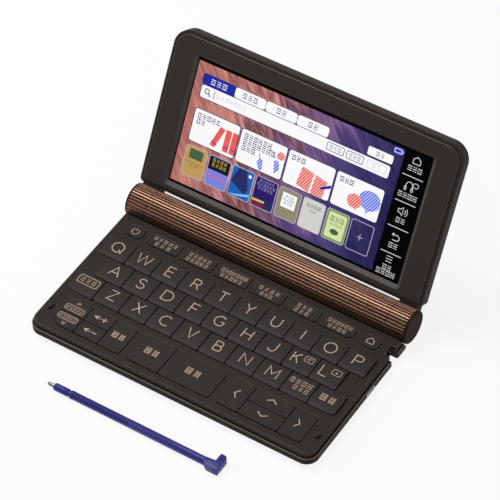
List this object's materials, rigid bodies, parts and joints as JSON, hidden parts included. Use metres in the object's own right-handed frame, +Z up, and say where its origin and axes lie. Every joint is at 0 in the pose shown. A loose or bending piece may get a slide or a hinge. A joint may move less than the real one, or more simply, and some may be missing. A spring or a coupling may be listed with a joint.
{
  "type": "electronic dictionary",
  "caption": "Clamshell electronic dictionary: keyboard base, ribbed hinge barrel holding cells, tilting lid with wide touch display, loose stylus.",
  "frame": {"origin": "on the table, in the middle of the box that holds the open device and its stylus", "axes": "+X to the right of the person who types, along the hinge line; +Y to the hinge; +Z up"},
  "size_m": [0.1484, 0.1556, 0.0834],
  "materials": {
    "bezel_plastic": "fine matt moulded, dark warm brown",
    "board_laminate": "green solder-masked laminate",
    "case_plastic": "fine matt moulded, dark warm brown",
    "cell_metal": "printed steel can",
    "copper_coat": "copper metallic coat, satin",
    "deck_plastic": "fine matt moulded, dark warm brown",
    "display_glass": "glossy display window",
    "hinge_metal": "die-cast zinc, dark coat",
    "key_plastic": "satin key caps, dark warm brown",
    "mat_rubber": "moulded silicone rubber",
    "pad_rubber": "soft moulded rubber",
    "stylus_plastic": "moulded indigo plastic"
  },
  "bodies": {
    "base": {"lower_case": "case_plastic", "keyboard_deck": "deck_plastic", "key_mat": "mat_rubber", "circuit_board": "board_laminate", "rubber_pads": "pad_rubber", "hinge_barrel": "copper_coat", "batteries": "cell_metal"},
    "lid": {"hinge_knuckles": "hinge_metal", "hinge_sleeves": "copper_coat", "lid_cover": "case_plastic", "lid_bezel": "bezel_plastic", "display_panel": "display_glass"},
    "battery_door": {"battery_cover": "copper_coat"},
    "stylus": {"stylus": "stylus_plastic"},
    "key_a": {"key_a": "key_plastic"},
    "key_b": {"key_b": "key_plastic"},
    "key_back": {"key_back": "key_plastic"},
    "key_c": {"key_c": "key_plastic"},
    "key_d": {"key_d": "key_plastic"},
    "key_delete": {"key_delete": "key_plastic"},
    "key_e": {"key_e": "key_plastic"},
    "key_enter": {"key_enter": "key_plastic"},
    "key_f": {"key_f": "key_plastic"},
    "key_g": {"key_g": "key_plastic"},
    "key_h": {"key_h": "key_plastic"},
    "key_history": {"key_history": "key_plastic"},
    "key_home": {"key_home": "key_plastic"},
    "key_i": {"key_i": "key_plastic"},
    "key_j": {"key_j": "key_plastic"},
    "key_k": {"key_k": "key_plastic"},
    "key_l": {"key_l": "key_plastic"},
    "key_left": {"key_left": "key_plastic"},
    "key_m": {"key_m": "key_plastic"},
    "key_n": {"key_n": "key_plastic"},
    "key_o": {"key_o": "key_plastic"},
    "key_p": {"key_p": "key_plastic"},
    "key_power": {"key_power": "key_plastic"},
    "key_q": {"key_q": "key_plastic"},
    "key_r": {"key_r": "key_plastic"},
    "key_right": {"key_right": "key_plastic"},
    "key_s": {"key_s": "key_plastic"},
    "key_shift": {"key_shift": "key_plastic"},
    "key_space": {"key_space": "key_plastic"},
    "key_t": {"key_t": "key_plastic"},
    "key_u": {"key_u": "key_plastic"},
    "key_v": {"key_v": "key_plastic"},
    "key_w": {"key_w": "key_plastic"},
    "key_x": {"key_x": "key_plastic"},
    "key_y": {"key_y": "key_plastic"},
    "key_z": {"key_z": "key_plastic"},
    "function_key_1": {"function_key_1": "key_plastic"},
    "function_key_2": {"function_key_2": "key_plastic"},
    "function_key_3": {"function_key_3": "key_plastic"},
    "function_key_4": {"function_key_4": "key_plastic"},
    "function_key_5": {"function_key_5": "key_plastic"},
    "function_key_6": {"function_key_6": "key_plastic"},
    "jump_rocker": {"jump_rocker": "key_plastic"},
    "up_down_rocker": {"up_down_rocker": "key_plastic"},
    "volume_rocker": {"volume_rocker": "key_plastic"}
  },
  "joints": [
    {"name": "lid_hinge", "type": "hinge", "parent": "base", "child": "lid", "pos_m": [0, 0.0299, 0.0088], "axis": [-1, 0, 0], "range_deg": [-119, 21]},
    {"name": "door_slide", "type": "slide", "parent": "base", "child": "battery_door", "axis": [0, 1, 0], "range_m": [0, 0.01]},
    {"name": "stylus_lift", "type": "slide", "parent": "base", "child": "stylus", "axis": [0, 0, 1], "range_m": [0, 0.05]},
    {"name": "key_a_press", "type": "slide", "parent": "base", "child": "key_a", "axis": [0, 0, -1], "range_m": [0, 0.0007], "stiffness_N_per_m": 200, "springref_m": -0.001},
    {"name": "key_b_press", "type": "slide", "parent": "base", "child": "key_b", "axis": [0, 0, -1], "range_m": [0, 0.0007], "stiffness_N_per_m": 200, "springref_m": -0.001},
    {"name": "key_back_press", "type": "slide", "parent": "base", "child": "key_back", "axis": [0, 0, -1], "range_m": [0, 0.0007], "stiffness_N_per_m": 200, "springref_m": -0.001},
    {"name": "key_c_press", "type": "slide", "parent": "base", "child": "key_c", "axis": [0, 0, -1], "range_m": [0, 0.0007], "stiffness_N_per_m": 200, "springref_m": -0.001},
    {"name": "key_d_press", "type": "slide", "parent": "base", "child": "key_d", "axis": [0, 0, -1], "range_m": [0, 0.0007], "stiffness_N_per_m": 200, "springref_m": -0.001},
    {"name": "key_delete_press", "type": "slide", "parent": "base", "child": "key_delete", "axis": [0, 0, -1], "range_m": [0, 0.0007], "stiffness_N_per_m": 200, "springref_m": -0.001},
    {"name": "key_e_press", "type": "slide", "parent": "base", "child": "key_e", "axis": [0, 0, -1], "range_m": [0, 0.0007], "stiffness_N_per_m": 200, "springref_m": -0.001},
    {"name": "key_enter_press", "type": "slide", "parent": "base", "child": "key_enter", "axis": [0, 0, -1], "range_m": [0, 0.0007], "stiffness_N_per_m": 200, "springref_m": -0.001},
    {"name": "key_f_press", "type": "slide", "parent": "base", "child": "key_f", "axis": [0, 0, -1], "range_m": [0, 0.0007], "stiffness_N_per_m": 200, "springref_m": -0.001},
    {"name": "key_g_press", "type": "slide", "parent": "base", "child": "key_g", "axis": [0, 0, -1], "range_m": [0, 0.0007], "stiffness_N_per_m": 200, "springref_m": -0.001},
    {"name": "key_h_press", "type": "slide", "parent": "base", "child": "key_h", "axis": [0, 0, -1], "range_m": [0, 0.0007], "stiffness_N_per_m": 200, "springref_m": -0.001},
    {"name": "key_history_press", "type": "slide", "parent": "base", "child": "key_history", "axis": [0, 0, -1], "range_m": [0, 0.0007], "stiffness_N_per_m": 200, "springref_m": -0.001},
    {"name": "key_home_press", "type": "slide", "parent": "base", "child": "key_home", "axis": [0, 0, -1], "range_m": [0, 0.0006], "stiffness_N_per_m": 200, "springref_m": -0.001},
    {"name": "key_i_press", "type": "slide", "parent": "base", "child": "key_i", "axis": [0, 0, -1], "range_m": [0, 0.0007], "stiffness_N_per_m": 200, "springref_m": -0.001},
    {"name": "key_j_press", "type": "slide", "parent": "base", "child": "key_j", "axis": [0, 0, -1], "range_m": [0, 0.0007], "stiffness_N_per_m": 200, "springref_m": -0.001},
    {"name": "key_k_press", "type": "slide", "parent": "base", "child": "key_k", "axis": [0, 0, -1], "range_m": [0, 0.0007], "stiffness_N_per_m": 200, "springref_m": -0.001},
    {"name": "key_l_press", "type": "slide", "parent": "base", "child": "key_l", "axis": [0, 0, -1], "range_m": [0, 0.0007], "stiffness_N_per_m": 200, "springref_m": -0.001},
    {"name": "key_left_press", "type": "slide", "parent": "base", "child": "key_left", "axis": [0, 0, -1], "range_m": [0, 0.0007], "stiffness_N_per_m": 200, "springref_m": -0.001},
    {"name": "key_m_press", "type": "slide", "parent": "base", "child": "key_m", "axis": [0, 0, -1], "range_m": [0, 0.0007], "stiffness_N_per_m": 200, "springref_m": -0.001},
    {"name": "key_n_press", "type": "slide", "parent": "base", "child": "key_n", "axis": [0, 0, -1], "range_m": [0, 0.0007], "stiffness_N_per_m": 200, "springref_m": -0.001},
    {"name": "key_o_press", "type": "slide", "parent": "base", "child": "key_o", "axis": [0, 0, -1], "range_m": [0, 0.0007], "stiffness_N_per_m": 200, "springref_m": -0.001},
    {"name": "key_p_press", "type": "slide", "parent": "base", "child": "key_p", "axis": [0, 0, -1], "range_m": [0, 0.0007], "stiffness_N_per_m": 200, "springref_m": -0.001},
    {"name": "key_power_press", "type": "slide", "parent": "base", "child": "key_power", "axis": [0, 0, -1], "range_m": [0, 0.0006], "stiffness_N_per_m": 200, "springref_m": -0.001},
    {"name": "key_q_press", "type": "slide", "parent": "base", "child": "key_q", "axis": [0, 0, -1], "range_m": [0, 0.0007], "stiffness_N_per_m": 200, "springref_m": -0.001},
    {"name": "key_r_press", "type": "slide", "parent": "base", "child": "key_r", "axis": [0, 0, -1], "range_m": [0, 0.0007], "stiffness_N_per_m": 200, "springref_m": -0.001},
    {"name": "key_right_press", "type": "slide", "parent": "base", "child": "key_right", "axis": [0, 0, -1], "range_m": [0, 0.0007], "stiffness_N_per_m": 200, "springref_m": -0.001},
    {"name": "key_s_press", "type": "slide", "parent": "base", "child": "key_s", "axis": [0, 0, -1], "range_m": [0, 0.0007], "stiffness_N_per_m": 200, "springref_m": -0.001},
    {"name": "key_shift_press", "type": "slide", "parent": "base", "child": "key_shift", "axis": [0, 0, -1], "range_m": [0, 0.0007], "stiffness_N_per_m": 200, "springref_m": -0.001},
    {"name": "key_space_press", "type": "slide", "parent": "base", "child": "key_space", "axis": [0, 0, -1], "range_m": [0, 0.0007], "stiffness_N_per_m": 200, "springref_m": -0.001},
    {"name": "key_t_press", "type": "slide", "parent": "base", "child": "key_t", "axis": [0, 0, -1], "range_m": [0, 0.0007], "stiffness_N_per_m": 200, "springref_m": -0.001},
    {"name": "key_u_press", "type": "slide", "parent": "base", "child": "key_u", "axis": [0, 0, -1], "range_m": [0, 0.0007], "stiffness_N_per_m": 200, "springref_m": -0.001},
    {"name": "key_v_press", "type": "slide", "parent": "base", "child": "key_v", "axis": [0, 0, -1], "range_m": [0, 0.0007], "stiffness_N_per_m": 200, "springref_m": -0.001},
    {"name": "key_w_press", "type": "slide", "parent": "base", "child": "key_w", "axis": [0, 0, -1], "range_m": [0, 0.0007], "stiffness_N_per_m": 200, "springref_m": -0.001},
    {"name": "key_x_press", "type": "slide", "parent": "base", "child": "key_x", "axis": [0, 0, -1], "range_m": [0, 0.0007], "stiffness_N_per_m": 200, "springref_m": -0.001},
    {"name": "key_y_press", "type": "slide", "parent": "base", "child": "key_y", "axis": [0, 0, -1], "range_m": [0, 0.0007], "stiffness_N_per_m": 200, "springref_m": -0.001},
    {"name": "key_z_press", "type": "slide", "parent": "base", "child": "key_z", "axis": [0, 0, -1], "range_m": [0, 0.0007], "stiffness_N_per_m": 200, "springref_m": -0.001},
    {"name": "function_key_1_press", "type": "slide", "parent": "base", "child": "function_key_1", "axis": [0, 0, -1], "range_m": [0, 0.0006], "stiffness_N_per_m": 200, "springref_m": -0.001},
    {"name": "function_key_2_press", "type": "slide", "parent": "base", "child": "function_key_2", "axis": [0, 0, -1], "range_m": [0, 0.0006], "stiffness_N_per_m": 200, "springref_m": -0.001},
    {"name": "function_key_3_press", "type": "slide", "parent": "base", "child": "function_key_3", "axis": [0, 0, -1], "range_m": [0, 0.0006], "stiffness_N_per_m": 200, "springref_m": -0.001},
    {"name": "function_key_4_press", "type": "slide", "parent": "base", "child": "function_key_4", "axis": [0, 0, -1], "range_m": [0, 0.0006], "stiffness_N_per_m": 200, "springref_m": -0.001},
    {"name": "function_key_5_press", "type": "slide", "parent": "base", "child": "function_key_5", "axis": [0, 0, -1], "range_m": [0, 0.0006], "stiffness_N_per_m": 200, "springref_m": -0.001},
    {"name": "function_key_6_press", "type": "slide", "parent": "base", "child": "function_key_6", "axis": [0, 0, -1], "range_m": [0, 0.0006], "stiffness_N_per_m": 200, "springref_m": -0.001},
    {"name": "jump_rocker_tilt", "type": "hinge", "parent": "base", "child": "jump_rocker", "pos_m": [0, -0.0415, 0.0064], "axis": [1, 0, 0], "range_deg": [-3, 3], "stiffness_Nm_per_rad": 0.02},
    {"name": "up_down_rocker_tilt", "type": "hinge", "parent": "base", "child": "up_down_rocker", "pos_m": [0, -0.0415, 0.0064], "axis": [1, 0, 0], "range_deg": [-3, 3], "stiffness_Nm_per_rad": 0.02},
    {"name": "volume_rocker_tilt", "type": "hinge", "parent": "base", "child": "volume_rocker", "pos_m": [0, -0.0415, 0.0064], "axis": [1, 0, 0], "range_deg": [-3, 3], "stiffness_Nm_per_rad": 0.02}
  ]
}
